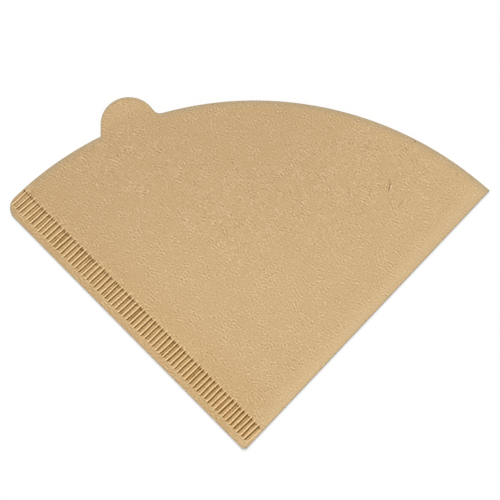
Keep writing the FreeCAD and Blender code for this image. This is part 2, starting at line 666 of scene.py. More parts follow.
        # Painted shadow beside the crease.
        beside = self._crease(along, inwards, self.crease_half_width / 2.0) * self.crease_shadow
        to_rim = along / self.place_of(self.count)
        groove_shade_gain = between(self.groove_shade_at_tip, self.groove_shade_at_rim, to_rim)
        flank_highlight_gain = between(self.flank_highlight_at_tip, self.flank_highlight_at_rim, to_rim)
        groove = max(groove, min(beside, 1.0)) * ends * groove_shade_gain
        # Painted shade at the floor's inner end wall.
        from_wall = inwards - self.plan.seam_width - self.end_wall_place
        wall = self._swell(from_wall, self.end_wall_half_width) * (1.0 - bare)
        # Painted highlight on the ridge's gentle side.
        flank_highlight = self._swell(offset - self.flank_highlight_place, self.flank_highlight_half_width) * ends * flank_highlight_gain
        return floor, max(groove, self.end_wall_share * wall * self._from_fold(point)), flank_highlight


@dataclass
class PullTab:
    """The round tab on the rim, cut through both plies."""

    plan: SheetPlan
    radius: float = 10.1 * MM
    turn: float = math.radians(22.4)
    root_radius: float = 2.8 * MM
    even_rows: int = 7
    close_rows: tuple[float, ...] = (0.965, 0.985, 1.0)
    columns: int = 28

    @property
    def centre(self) -> Vector:
        """The middle of the tab's round head, on the rim's circle."""
        return self.plan.polar(self.plan.rim_radius, self.turn)

    @property
    def left(self) -> Vector:
        """Where the round head runs into the straight side."""
        return self.centre - Vector((self.radius, 0.0, 0.0))

    @property
    def foot(self) -> Vector:
        """Where the straight side meets the rim.

        Returns:
            The point.
        """
        arm = self.left.x - self.plan.cone_point.x
        height = math.sqrt(self.plan.rim_radius ** 2 - arm ** 2)
        return Vector((self.left.x, self.plan.cone_point.y + height, 0.0))

    @property
    def root_turn(self) -> float:
        """The turn at which the rounded root leaves the rim.

        Returns:
            The angle from the middle line, towards the cut edge.
        """
        out = self.plan.rim_radius + self.root_radius
        apart = self.radius + self.root_radius
        cosine = (self.plan.rim_radius ** 2 + out ** 2 - apart ** 2) / (2.0 * self.plan.rim_radius * out)
        return self.turn - math.acos(cosine)

    @property
    def root(self) -> Vector:
        """The middle of the rounded root, outside the sheet."""
        return self.plan.polar(self.plan.rim_radius + self.root_radius, self.root_turn)

    def row_shares(self) -> list[float]:
        """How far out of the rim each row of points lies, with rows close together at the edge."""
        return [row / (self.even_rows + 1) for row in range(1, self.even_rows + 1)] + list(self.close_rows)

    def edge_point(self, share: float) -> Vector:
        """A point of the tab's cut edge.

        Args:
            share: Its place along the edge, from 0 at the foot to 1 at the root's end.

        Returns:
            The point.
        """
        arm = self.root - self.centre
        head_end = math.atan2(arm.y, arm.x)
        side = (self.foot - self.left).length
        head = (math.pi - head_end) * self.radius
        root_start = head_end + math.pi
        root_sweep = (self.root_turn - math.pi / 2.0 - root_start) % (2.0 * math.pi)
        run = share * (side + head + root_sweep * self.root_radius)
        if run < side:
            return self.foot.lerp(self.left, run / side)
        if run < side + head:
            angle = math.pi - (run - side) / self.radius
            return self.centre + Vector((math.cos(angle), math.sin(angle), 0.0)) * self.radius
        angle = root_start + (run - side - head) / self.root_radius
        return self.root + Vector((math.cos(angle), math.sin(angle), 0.0)) * self.root_radius


@dataclass
class PaperFilter:
    """The folded sheet, with both plies, the round back of the fold and every cut edge."""

    plan: SheetPlan
    mouth_lift: float = 1.0 * MM
    sway: float = 0.08 * MM
    sway_length: float = 34.0 * MM
    sway_place: tuple[float, float, float] = (4.7, 1.3, 0.0)
    columns_to_tab: int = 10
    columns_to_fold: int = 32
    points_to_pitch: int = 15
    least_of_pitch: float = 0.25
    rows_near_rim: tuple[float, ...] = (0.45 * MM, 0.2 * MM, 0.0)
    crowding: float = 0.06
    crowded_place: float = -0.1
    fold_steps: int = 10
    squeeze_reach: float = 3.0 * MM
    shear_reach: float = 3.2 * MM
    corner_steps: int = 14
    rim_steps: int = 4
    cut_across_fold: float = 0.7
    cut_upright: float = 0.2
    flat_corners: int = 4
    # Where the painted highlight along the fold starts, and how far it reaches.
    fold_highlight_start: float = 0.8 * MM
    fold_highlight_reach: float = 7.0 * MM
    # How far the painted shade line reaches in from the cut edges, and how weak it is on the straight cut
    # edge.
    edge_shade_reach: float = 1.0 * MM
    straight_edge_shade: float = 0.3
    # Painted shade towards the rim: where it starts, how it fades towards the fold, and how much is left on
    # the tab.
    rim_shade_start: float = 0.35
    rim_shade_turn: float = math.radians(46.0)
    tab_shade: float = 0.45
    tab_shade_reach: float = 0.05
    seam_tone_start: float = 12.0 * MM
    seam_tone_reach: float = 12.0 * MM
    seam_tone_at_rim: float = 0.4
    merge: float = 0.0005 * MM
    turn_slack: float = 1e-5
    crimp: Crimp = field(init=False)
    tab: PullTab = field(init=False)

    def __post_init__(self) -> None:
        """Makes the crimp and the tab on the same plan."""
        self.crimp = Crimp(self.plan)
        self.tab = PullTab(self.plan)

    def build(self) -> bpy.types.Object:
        """Builds the sheet and puts it into the scene.

        Returns:
            The finished piece.
        """
        mesh = bmesh.new()
        self._sweep_pocket(mesh, self._draw_seam_line(mesh))
        self._fit_to_rim(mesh)
        self._add_seam(mesh)
        self._divide_crimp(mesh)
        self._slant_seam_to_fold(mesh)
        self._trim_ends(mesh)
        self._add_tab(mesh)
        self._make_room_for_fold(mesh)
        self._thicken(mesh)
        self._fold_over(mesh)
        self._shape_heights(mesh)
        self._mark_faces(mesh)
        self._mark_points(mesh)
        return mesh_in_scene("folded_sheet", mesh)

    def _weld(self, mesh: bmesh.types.BMesh) -> None:
        """Merges the points that lie on one another."""
        bmesh.ops.remove_doubles(mesh, verts=mesh.verts[:], dist=self.merge)

    def _draw_seam_line(self, mesh: bmesh.types.BMesh) -> list[bmesh.types.BMEdge]:
        """Draws the line along the ridges' inner ends, from the fold to the rim.

        Args:
            mesh: The mesh to draw in.

        Returns:
            The line's edges, with a point at each valley and two close to the rim.
        """
        plan = self.plan
        start_along = plan.from_edge(plan.crimp_point)[0]
        to_rim = plan.to_rim(plan.half_tip)
        near_rim = [to_rim - step for step in self.rows_near_rim]
        last_radius = near_rim[0] - self.crimp.pitch * self.least_of_pitch
        radii = [along - start_along for along in self.crimp.valleys()]
        radii = [radius for radius in radii if radius < last_radius] + near_rim
        last = mesh.verts.new(plan.crimp_point)
        edges = []
        for radius in radii:
            point = mesh.verts.new(plan.crimp_point + plan.along_edge * radius)
            edges.append(mesh.edges.new((last, point)))
            last = point
        return edges

    def _sweep_pocket(self, mesh: bmesh.types.BMesh, line: list[bmesh.types.BMEdge]) -> None:
        """Sweeps the line about the crimp's point, over the pocket to the fold.

        Args:
            mesh: The mesh that holds the line.
            line: The line's edges.
        """
        plan = self.plan
        turn = plan.half_tip
        root_end = plan.polar(plan.rim_radius, self.tab.root_turn)
        stages = (
            (plan.turn_of(self.tab.foot, plan.crimp_point), self.columns_to_tab),
            (plan.turn_of(root_end, plan.crimp_point), self.tab.columns),
            (-plan.half_tip, self.columns_to_fold),
        )
        swept = [*line, *{point for edge in line for point in edge.verts}]
        for end_turn, steps in stages:
            result = bmesh.ops.spin(
                mesh, geom=swept, cent=plan.crimp_point, axis=UP, dvec=(0, 0, 0),
                angle=end_turn - turn, steps=steps, use_duplicate=False,
            )
            swept = result["geom_last"]
            turn = end_turn
        self._weld(mesh)

    def _fit_to_rim(self, mesh: bmesh.types.BMesh) -> None:
        """Stretches each swept column so that it ends on the rim.

        Args:
            mesh: The mesh that holds the columns.
        """
        plan = self.plan
        first = plan.to_rim(plan.half_tip)
        for point in mesh.verts:
            arm = point.co - plan.crimp_point
            if arm.length > self.merge:
                to_rim = plan.to_rim(plan.turn_of(point.co, plan.crimp_point))
                point.co = plan.crimp_point + arm * (to_rim / first)

    def _edges_on_seam_line(self, mesh: bmesh.types.BMesh) -> list[bmesh.types.BMEdge]:
        """Finds the line along the ridges' inner ends again.

        Args:
            mesh: The mesh that holds it.

        Returns:
            Its edges.
        """
        inner = self.plan.crimp_end
        return [
            edge for edge in mesh.edges
            if all(abs(self.plan.from_edge(p.co)[1] - inner) < self.merge for p in edge.verts)
        ]

    def _add_seam(self, mesh: bmesh.types.BMesh) -> None:
        """Draws the seam out from that line to the cut edge, row by row.

        Args:
            mesh: The mesh to draw in.
        """
        edges = self._edges_on_seam_line(mesh)
        rows = self.crimp.rows()
        for row, next_row in zip(rows, rows[1:]):
            points, edges = extrude_row(mesh, edges)
            bmesh.ops.translate(mesh, verts=points, vec=self.plan.in_from_edge * (next_row - row))

    def _divide_crimp(self, mesh: bmesh.types.BMesh) -> None:
        """Divides the crimp's edges along the seam, most finely on each ridge's steep side.

        Args:
            mesh: The mesh that holds the seam.
        """
        low = self.plan.seam_margin + self.crimp.outer_rows[-1] - self.merge
        high = self.plan.crimp_end + self.merge
        least = self.crimp.pitch * self.least_of_pitch
        chosen = []
        for edge in mesh.edges:
            first, second = (self.plan.from_edge(p.co)[1] for p in edge.verts)
            across = abs(first - second) > self.merge
            if low < first < high and not across and edge.calc_length() > least:
                chosen.append(edge)
        divided = bmesh.ops.subdivide_edges(
            mesh, edges=chosen, cuts=self.points_to_pitch - 1, use_grid_fill=True,
        )
        valley_turn = 2.0 * math.pi * (0.5 - self.crowded_place)
        for point in set(of_kind(divided["geom_inner"], bmesh.types.BMVert)):
            index = self.crimp.index_at(self.plan.from_edge(point.co)[0])
            turn = 2.0 * math.pi * (index - self.crowded_place)
            shift = self.crowding * (math.sin(valley_turn) - math.sin(turn))
            point.co += self.plan.along_edge * (shift * self.crimp.pitch)

    def _slant_seam_to_fold(self, mesh: bmesh.types.BMesh) -> None:
        """Leans the seam's first columns over, so that the first one lies on the fold.

        Args:
            mesh: The mesh that holds the seam.
        """
        start = self.plan.from_edge(self.plan.crimp_point)[0]
        slant = 1.0 / math.tan(self.plan.tip_angle)
        for point in mesh.verts:
            along, inwards = self.plan.from_edge(point.co)
            if inwards < self.plan.crimp_end - self.merge:
                share = max(1.0 - (along - start) / self.shear_reach, 0.0)
                drop = (self.plan.crimp_end - inwards) * slant * share
                point.co -= self.plan.along_edge * drop

    def _cut_away(self, mesh: bmesh.types.BMesh, point: Vector, outwards: Vector) -> None:
        """Cuts off all that lies past a line.

        Args:
            mesh: The mesh to cut.
            point: A point of the line.
            outwards: The direction square to the line, towards what goes.
        """
        everything = [*mesh.verts, *mesh.edges, *mesh.faces]
        bmesh.ops.bisect_plane(
            mesh, geom=everything, dist=self.merge / 10.0, plane_co=point, plane_no=outwards,
            clear_outer=True, clear_inner=False,
        )

    def _trim_ends(self, mesh: bmesh.types.BMesh) -> None:
        """Cuts the blunt tip, the rounded corner and the seam's stretch of the rim.

        Args:
            mesh: The mesh to cut.
        """
        plan = self.plan
        self._cut_away(mesh, plan.tip + Vector((0.0, plan.tip_nip, 0.0)), Vector((0.0, -1.0, 0.0)))
        start_along = plan.from_edge(plan.cone_point)[0]
        beside = plan.seam_width - plan.corner_radius
        along = start_along + math.sqrt((plan.rim_radius - plan.corner_radius) ** 2 - beside ** 2)
        corner = plan.tip + plan.along_edge * along + plan.in_from_edge * plan.corner_radius
        rim_turn = plan.turn_of(corner)
        edge_turn = math.pi / 2.0 + plan.half_tip
        for step in range(self.corner_steps):
            outwards = heading(between(rim_turn, edge_turn, (step + 0.5) / self.corner_steps))
            self._cut_away(mesh, corner + outwards * plan.corner_radius, outwards)
        last_turn = plan.turn_of(plan.crimp_point + plan.along_edge * plan.to_rim(plan.half_tip))
        for step in range(self.rim_steps):
            turn = between(rim_turn, last_turn, (step + 0.5) / self.rim_steps)
            self._cut_away(mesh, plan.polar(plan.rim_radius, turn), heading(turn))
        self._weld(mesh)

    def _add_tab(self, mesh: bmesh.types.BMesh) -> None:
        """Draws the tab out of the rim, row by row, until the last row is its cut edge.

        Args:
            mesh: The mesh to draw in.
        """
        plan, tab = self.plan, self.tab
        foot_turn, root_turn = plan.turn_of(tab.foot), tab.root_turn
        share_of = mesh.verts.layers.float.new("tab_share")
        on_rim = set()
        for point in mesh.verts:
            turn = plan.turn_of(point.co)
            at_rim = abs((point.co - plan.cone_point).length - plan.rim_radius) < self.merge
            if at_rim and root_turn - self.turn_slack < turn < foot_turn + self.turn_slack:
                point[share_of] = (foot_turn - turn) / (foot_turn - root_turn)
                on_rim.add(point)
        edges = [edge for edge in mesh.edges if all(p in on_rim for p in edge.verts)]
        for row in tab.row_shares():
            points, edges = extrude_row(mesh, edges)
            for point in points:
                share = min(max(point[share_of], 0.0), 1.0)
                rim_point = plan.polar(plan.rim_radius, between(foot_turn, root_turn, share))
                point.co = rim_point.lerp(tab.edge_point(share), row)
        mesh.verts.layers.float.remove(share_of)
        self._weld(mesh)

    def _make_room_for_fold(self, mesh: bmesh.types.BMesh) -> None:
        """Draws the sheet back from the fold by the radius of its round back.

        Args:
            mesh: The mesh of the flat cut.
        """
        radius, reach = self.plan.fold_radius, self.squeeze_reach
        for point in mesh.verts:
            depth = self.plan.from_fold(point.co)
            if depth < reach:
                point.co += self.plan.in_from_fold * (radius * (1.0 - depth / reach))

    def _thicken(self, mesh: bmesh.types.BMesh) -> None:
        """Gives the flat cut its thickness, as the upper ply.

        Args:
            mesh: The mesh of the flat cut.
        """
        thickness = Surface.TOP.level - Surface.CEILING.level
        bmesh.ops.translate(mesh, verts=mesh.verts[:], vec=UP * Surface.CEILING.level)
        result = bmesh.ops.extrude_face_region(mesh, geom=mesh.faces[:])["geom"]
        raised = of_kind(result, bmesh.types.BMVert)
        bmesh.ops.translate(mesh, verts=raised, vec=UP * thickness)

    def _fold_over(self, mesh: bmesh.types.BMesh) -> None:
        """Bends the sheet half round along the fold and lays the lower ply under the upper one.

        Args:
            mesh: The mesh of the upper ply.
        """
        plan = self.plan
        middle = Surface.TOP.level / 2.0
        mirrored = bmesh.ops.duplicate(mesh, geom=[*mesh.verts, *mesh.edges, *mesh.faces])["geom"]
        for point in of_kind(mirrored, bmesh.types.BMVert):
            point.co.z = 2.0 * middle - point.co.z
        bmesh.ops.reverse_faces(mesh, faces=of_kind(mirrored, bmesh.types.BMFace))
        walls = [
            face for face in mesh.faces
            if all(plan.from_fold(p.co) < plan.fold_radius + self.merge for p in face.verts)
        ]
        upper_walls = [face for face in walls if face.calc_center_median().z > middle]
        lower_walls = [face for face in walls if face.calc_center_median().z < middle]
        bmesh.ops.delete(mesh, geom=lower_walls, context="FACES_ONLY")
        edges = {edge for face in upper_walls for edge in face.edges}
        points = {point for face in upper_walls for point in face.verts}
        result = bmesh.ops.spin(
            mesh, geom=[*upper_walls, *edges, *points],
            cent=plan.tip + plan.in_from_fold * plan.fold_radius + UP * middle,
            axis=plan.along_fold, dvec=(0, 0, 0), angle=math.pi, steps=self.fold_steps,
            use_duplicate=False,
        )
        spare = of_kind(result["geom_last"], bmesh.types.BMFace)
        spare += [face for face in upper_walls if face.is_valid]
        bmesh.ops.delete(mesh, geom=spare, context="FACES_ONLY")
        self._weld(mesh)
        bmesh.ops.recalc_face_normals(mesh, faces=mesh.faces[:])

    def _lift(self, point: Vector) -> float:
        """How far the upper ply stands off the lower one at a point of the pocket.

        Args:
            point: A point of the sheet.

        Returns:
            The lift, which is 0 at the fold and in the seam.
        """
        plan = self.plan
        arm = point - plan.cone_point
        span = math.sin(plan.tip_angle)
        from_seam = arm.dot(plan.in_from_edge) / span
        from_fold = (plan.from_fold(point) - plan.fold_radius) / span
        if from_seam <= 0.0 or from_fold <= 0.0:
            return 0.0
        mid_rim = plan.rim_radius / (2.0 * math.cos(plan.half_tip))
        share = from_seam * from_fold / mid_rim ** 2
        wave = noise.noise(point / self.sway_length + Vector(self.sway_place))
        return self.mouth_lift * share + self.sway * wave * math.sqrt(share)

    def _shape_heights(self, mesh: bmesh.types.BMesh) -> None:
        """Lifts the mouth and presses the crimp, in each face of both plies.

        Args:
            mesh: The mesh of the folded sheet.
        """
        for point in mesh.verts:
            if self.plan.from_fold(point.co) < self.plan.fold_radius - self.merge:
                continue
            surface = min(Surface, key=lambda s: abs(s.level - point.co.z))
            flat = laid_flat(point.co)
            point.co.z = self.crimp.height(flat, surface)
            if surface.on_upper_ply:
                point.co.z += self._lift(flat)

    def _mark_faces(self, mesh: bmesh.types.BMesh) -> None:
        """Tells cut edges from paper faces, and keeps the edges between them sharp.

        Args:
            mesh: The mesh of the folded sheet.
        """
        mesh.normal_update()
        for face in mesh.faces:
            face.smooth = True
            face.material_index = 1 if self._is_cut(face) else 0
        for edge in mesh.edges:
            edge.smooth = len({face.material_index for face in edge.link_faces}) < 2

    def _is_cut(self, face: bmesh.types.BMFace) -> bool:
        """Whether a face is part of a cut edge.

        Args:
            face: The face.

        Returns:
            True where it closes the fold's round back, or stands upright with points that lie one
            above the other.
        """
        plan = self.plan
        if plan.from_fold(face.calc_center_median()) < plan.fold_radius:
            return abs(face.normal.dot(plan.along_fold)) > self.cut_across_fold
        places = {round(p.co.x / self.merge) for p in face.verts}
        return abs(face.normal.z) < self.cut_upright and len(places) < self.flat_corners

    def _mark_points(self, mesh: bmesh.types.BMesh) -> None:
        """Writes at each point, for its finish to read, the painted highlight along the fold, the painted
        shade line along the cut edges, the crimp's browning, painted shade and painted highlight, the painted
        shade by the rim and the seam's warmer tone.

        Args:
            mesh: The mesh of the folded sheet, with its cut edges told apart.
        """
        plan = self.plan
        cut_points = [p for p in mesh.verts if any(face.material_index == 1 for face in p.link_faces)]
        tree = kdtree.KDTree(len(cut_points))
        for index, point in enumerate(cut_points):
            tree.insert(laid_flat(point.co), index)
        tree.balance()
        fold_highlight, edge_shade, pressed, groove_brown_and_shade, flank_highlight, rim_shade, warmed = (
            mesh.verts.layers.float.new(mark.value) for mark in Mark
        )
        for point in mesh.verts:
            flat = laid_flat(point.co)
            in_from_fold = plan.from_fold(flat) - self.fold_highlight_start
            point[fold_highlight] = 1.0 - smooth_step(in_from_fold / self.fold_highlight_reach)
            nearest, _, away = tree.find(flat)
            by_cut_edge = plan.from_edge(nearest)[1] < self.merge
            on_straight_cut = by_cut_edge and plan.from_edge(flat)[0] < self.straight_end
            weight = self.straight_edge_shade if on_straight_cut else 1.0
            point[edge_shade] = weight * (1.0 - smooth_step(away / self.edge_shade_reach))
            point[pressed], point[groove_brown_and_shade], point[flank_highlight] = self.crimp.tints(flat)
            point[rim_shade] = self._rim_tone(flat)
            point[warmed] = self._seam_tone(flat)

    @property
    def straight_end(self) -> float:
        """How far from the tip the straight cut edge reaches, up to the rounded corner."""
        return self.plan.rim_radius - self.plan.corner_radius

    def _rim_tone(self, point: Vector) -> float:
        """How much painted shade darkens the paper at a point: by the rim, less on the tab and by the fold.

        Args:
            point: A point of the sheet.

        Returns:
            The painted shade, from 0 to 1.
        """
        outwards = (point - self.plan.cone_point).length / self.plan.rim_radius
        from_fold = (self.plan.turn_of(point) + self.plan.half_tip) / self.rim_shade_turn
        by_rim = smooth_step((outwards - self.rim_shade_start) / (1.0 - self.rim_shade_start))
        on_tab = smooth_step((outwards - 1.0) / self.tab_shade_reach)
        return by_rim * smooth_step(from_fold) * between(1.0, self.tab_shade, on_tab)

    def _seam_tone(self, point: Vector) -> float:
        """How far the paper is a little warmer at a point: along the seam, and most by the tip.

        Args:
            point: A point of the sheet.

        Returns:
            The tone, from 0 to 1.
        """
        along, inwards = self.plan.from_edge(point)
        by_seam = 1.0 - smooth_step((inwards - self.seam_tone_start) / self.seam_tone_reach)
        return by_seam * between(1.0, self.seam_tone_at_rim, along / self.plan.rim_radius)


@dataclass(frozen=True)
class NoiseForm:
    """How fine and how rough a noise is, and how many finer ones lie in it."""

    scale: float
    detail: float
    roughness: float


@dataclass(frozen=True)
class WaveForm:
    """How long the waves are, how wide a patch of them is and how alike the patches are turned."""

    length: float
    patch: float
    order: float


@dataclass
class NodeBench:
    """Places and wires the nodes of one shader tree or group."""

    tree: bpy.types.NodeTree

    def join(self, source: bpy.types.NodeSocket, target: bpy.types.NodeSocket) -> None:
        """Wires an output to an input."""
        self.tree.links.new(source, target)

    def feed(self, target: bpy.types.NodeSocket, value: Feed) -> None:
        """Sets an input to a plain value, or wires it where the value is an output.

        Args:
            target: The input.
            value: The value or the output.
        """
        if isinstance(value, bpy.types.NodeSocket):
            self.join(value, target)
        else:
            target.default_value = value

    def fill(self, node: bpy.types.Node, values: dict[str, Feed]) -> None:
        """Feeds a node's inputs by their names."""
        for name, value in values.items():
            self.feed(node.inputs[name], value)

    def add(self, kind: str, *values: Feed, **settings: object) -> bpy.types.Node:
        """Adds a node.

        Args:
            kind: The node's type.
            values: Its first inputs in order, plain or wired.
            settings: Its properties by name.

        Returns:
            The node.
        """
        node = self.tree.nodes.new(kind)
        for name, value in settings.items():
            setattr(node, name, value)
        for socket, value in zip(node.inputs, values):
            self.feed(socket, value)
        return node

    def maths(self, operation: str, *values: Feed) -> bpy.types.NodeSocket:
        """Adds a Math node and gives its output."""
        return self.add("ShaderNodeMath", *values, operation=operation).outputs[0]

    def vector(self, operation: str, *values: Feed) -> bpy.types.NodeSocket:
        """Adds a Vector Math node.

        Args:
            operation: What it does.
            values: Its inputs in order, plain or wired.

        Returns:
            Its output, which is a number for a distance or a product of two directions.
        """
        node = self.add("ShaderNodeVectorMath", *values, operation=operation)
        return node.outputs["Value" if operation in ("DISTANCE", "DOT_PRODUCT") else "Vector"]

    def remap(
        self, value: Feed, source: tuple[float, float], target: tuple[float, float],
        ramp: Ramp = Ramp.SMOOTH,
    ) -> bpy.types.NodeSocket:
        """Maps a range of values onto another one, held at both ends.

        Args:
            value: The value, plain or wired.
            source: The two ends of the range.
            target: What they turn into.
            ramp: How the values run between the ends.

        Returns:
            The mapped value.
        """
        node = self.add("ShaderNodeMapRange", value, *source, *target, interpolation_type=ramp.value)
        return node.outputs[0]

    def noise(self, place: bpy.types.NodeSocket, form: NoiseForm) -> bpy.types.NodeSocket:
        """Adds a Noise texture.

        Args:
            place: The coordinates to draw it in.
            form: Its form.

        Returns:
            Its value, which is about 0.5 in the middle.
        """
        node = self.add("ShaderNodeTexNoise")
        self.fill(node, {
            "Vector": place, "Scale": form.scale, "Detail": form.detail, "Roughness": form.roughness,
        })
        return node.outputs["Fac"]

    def waves(self, place: bpy.types.NodeSocket, form: WaveForm, turn: float) -> bpy.types.NodeSocket:
        """Adds a Gabor texture: small patches of short parallel waves.

        Args:
            place: The coordinates to draw it in.
            form: Its form.
            turn: The direction across the waves.

        Returns:
            Its value, which is about 0.5 in the middle.
        """
        node = self.add("ShaderNodeTexGabor", gabor_type="2D")
        self.fill(node, {
            "Vector": place, "Scale": 1.0 / form.patch, "Frequency": form.patch / form.length,
            "Anisotropy": form.order, "Orientation": turn,
        })
        return node.outputs["Value"]

    def turned(self, place: bpy.types.NodeSocket, turn: float, stretch: float) -> bpy.types.NodeSocket:
        """Turns coordinates about Z and stretches what is drawn on them along the new X.

        Args:
            place: The coordinates.
            turn: The angle.
            stretch: How many times longer things get.

        Returns:
            The new coordinates.
        """
        node = self.add("ShaderNodeVectorRotate", rotation_type="Z_AXIS")
        self.fill(node, {"Vector": place, "Angle": turn})
        return self.vector("MULTIPLY", node.outputs["Vector"], Vector((1.0 / stretch, 1.0, 1.0)))

    def blend(self, share: Feed, first: Feed, second: Feed, way: Blend = Blend.COVER) -> bpy.types.NodeSocket:
        """Lays one colour over another.

        Args:
            share: How far, from 0 to 1.
            first: The colour below.
            second: The colour above.
            way: How the one goes over the other.

        Returns:
            The colour that comes out.
        """
        node = self.add("ShaderNodeMix", data_type="RGBA", blend_type=way.value)
        colours = [socket for socket in node.inputs if socket.type == "RGBA"]
        for socket, value in zip((node.inputs[0], *colours), (share, first, second)):
            self.feed(socket, value)
        return next(socket for socket in node.outputs if socket.type == "RGBA")


def new_material(name: str) -> tuple[bpy.types.Material, NodeBench, bpy.types.Node]:
    """Starts a material.

    Args:
        name: Its name.

    Returns:
        The material, the bench for its nodes, and its shader.
    """
    material = bpy.data.materials.new(name)
    material.use_nodes = True
    return material, NodeBench(material.node_tree), material.node_tree.nodes["Principled BSDF"]


@dataclass(frozen=True)
class CrepedGrain:
    """The grain of creped paper: short crepe lines along the seam, crossed by others, and patches."""

    across_seam: float
    crepe: WaveForm = WaveForm(length=1.15 * MM, patch=2.6 * MM, order=0.6)
    crepe_share: float = 0.78
    cross: WaveForm = WaveForm(length=0.85 * MM, patch=2.2 * MM, order=0.35)
    cross_turn: float = math.radians(27.0)
    cross_share: float = 0.35
    flecks: NoiseForm = NoiseForm(scale=1450.0, detail=1.0, roughness=0.7)
    fleck_share: float = 1.05
    clouds: NoiseForm = NoiseForm(scale=110.0, detail=2.0, roughness=0.5)
    patches: NoiseForm = NoiseForm(scale=380.0, detail=2.0, roughness=0.6)
    patch_range: tuple[float, float] = (0.35, 0.65)
    patch_gain: tuple[float, float] = (0.45, 1.55)
    fine_gain: float = 1.6
    broad_gain: float = 0.25

    def build(self) -> bpy.types.ShaderNodeTree:
        """Builds the shader group once.

        Returns:
            The group, which takes coordinates and gives a shade and a height about 0.
        """
        group = bpy.data.node_groups.new("creped_grain", "ShaderNodeTree")
        group.interface.new_socket("Coordinates", in_out="INPUT", socket_type="NodeSocketVector")
        group.interface.new_socket("Shade", in_out="OUTPUT", socket_type="NodeSocketFloat")
        group.interface.new_socket("Height", in_out="OUTPUT", socket_type="NodeSocketFloat")
        bench = NodeBench(group)
        place = bench.add("NodeGroupInput").outputs["Coordinates"]
        crepe = bench.waves(place, self.crepe, self.across_seam)
        cross = bench.waves(place, self.cross, self.across_seam + self.cross_turn)
        flecks, clouds, patches = (
            bench.noise(place, form) for form in (self.flecks, self.clouds, self.patches)
        )
        fine = -(self.crepe_share + self.cross_share + self.fleck_share) / 2.0
        layers = ((crepe, self.crepe_share), (cross, self.cross_share), (flecks, self.fleck_share))
        for layer, share in layers:
            fine = bench.maths("MULTIPLY_ADD", layer, share, fine)
        fine = bench.maths("MULTIPLY", fine, bench.remap(patches, self.patch_range, self.patch_gain))
        broad = bench.maths("SUBTRACT", bench.maths("ADD", clouds, patches), 1.0)
        weighted = bench.maths("MULTIPLY", broad, self.broad_gain)
        shade = bench.maths("MULTIPLY_ADD", fine, self.fine_gain, weighted)
        bench.fill(bench.add("NodeGroupOutput"), {"Shade": shade, "Height": fine})
        return group


@dataclass(frozen=True)
class FibreMark:
    """A fibre, a speck, a nick or a painted highlight in the upper face, drawn as one short stroke."""

    start: Vector
    end: Vector
    width: float
    colour: Colour
    strength: float
    full_share: float = 0.2
    faded_share: float = 0.7

    @classmethod
    def on_sheet(
        cls, plan: SheetPlan, start: tuple[float, float], end: tuple[float, float],
        width: float, colour: Colour, strength: float,
    ) -> "FibreMark":
        """Places a mark by how far from the cone's point and at what angle its ends lie.

        Args:
            plan: The sheet's plan.
            start: The radius and the angle in degrees of one end.
            end: The same of the other end.
            width: The stroke's width.
            colour: Its colour.
            strength: How far it covers the paper, from 0 to 1.

        Returns:
            The mark.
        """
        first, second = (plan.polar(radius, math.radians(turn)) for radius, turn in (start, end))
        return cls(first, second, width, colour, strength)

    def mask(self, bench: NodeBench, place: bpy.types.NodeSocket) -> bpy.types.NodeSocket:
        """Draws the stroke.

        Args:
            bench: The material's bench.
            place: The coordinates to draw it in, flat.

        Returns:
            The stroke's mask, which is the strength on its line and fades over its width.
        """
        run = self.end - self.start
        arm = bench.vector("SUBTRACT", place, self.start)
        share = bench.maths("DIVIDE", bench.vector("DOT_PRODUCT", arm, run), run.length_squared)
        held = bench.maths("MINIMUM", bench.maths("MAXIMUM", share, 0.0), 1.0)
        thrice = bench.add("ShaderNodeCombineXYZ", held, held, held).outputs[0]
        away = bench.vector("DISTANCE", place, bench.vector("MULTIPLY_ADD", run, thrice, self.start))
        reach = (self.full_share * self.width, self.faded_share * self.width)
        return bench.remap(away, reach, (self.strength, 0.0))


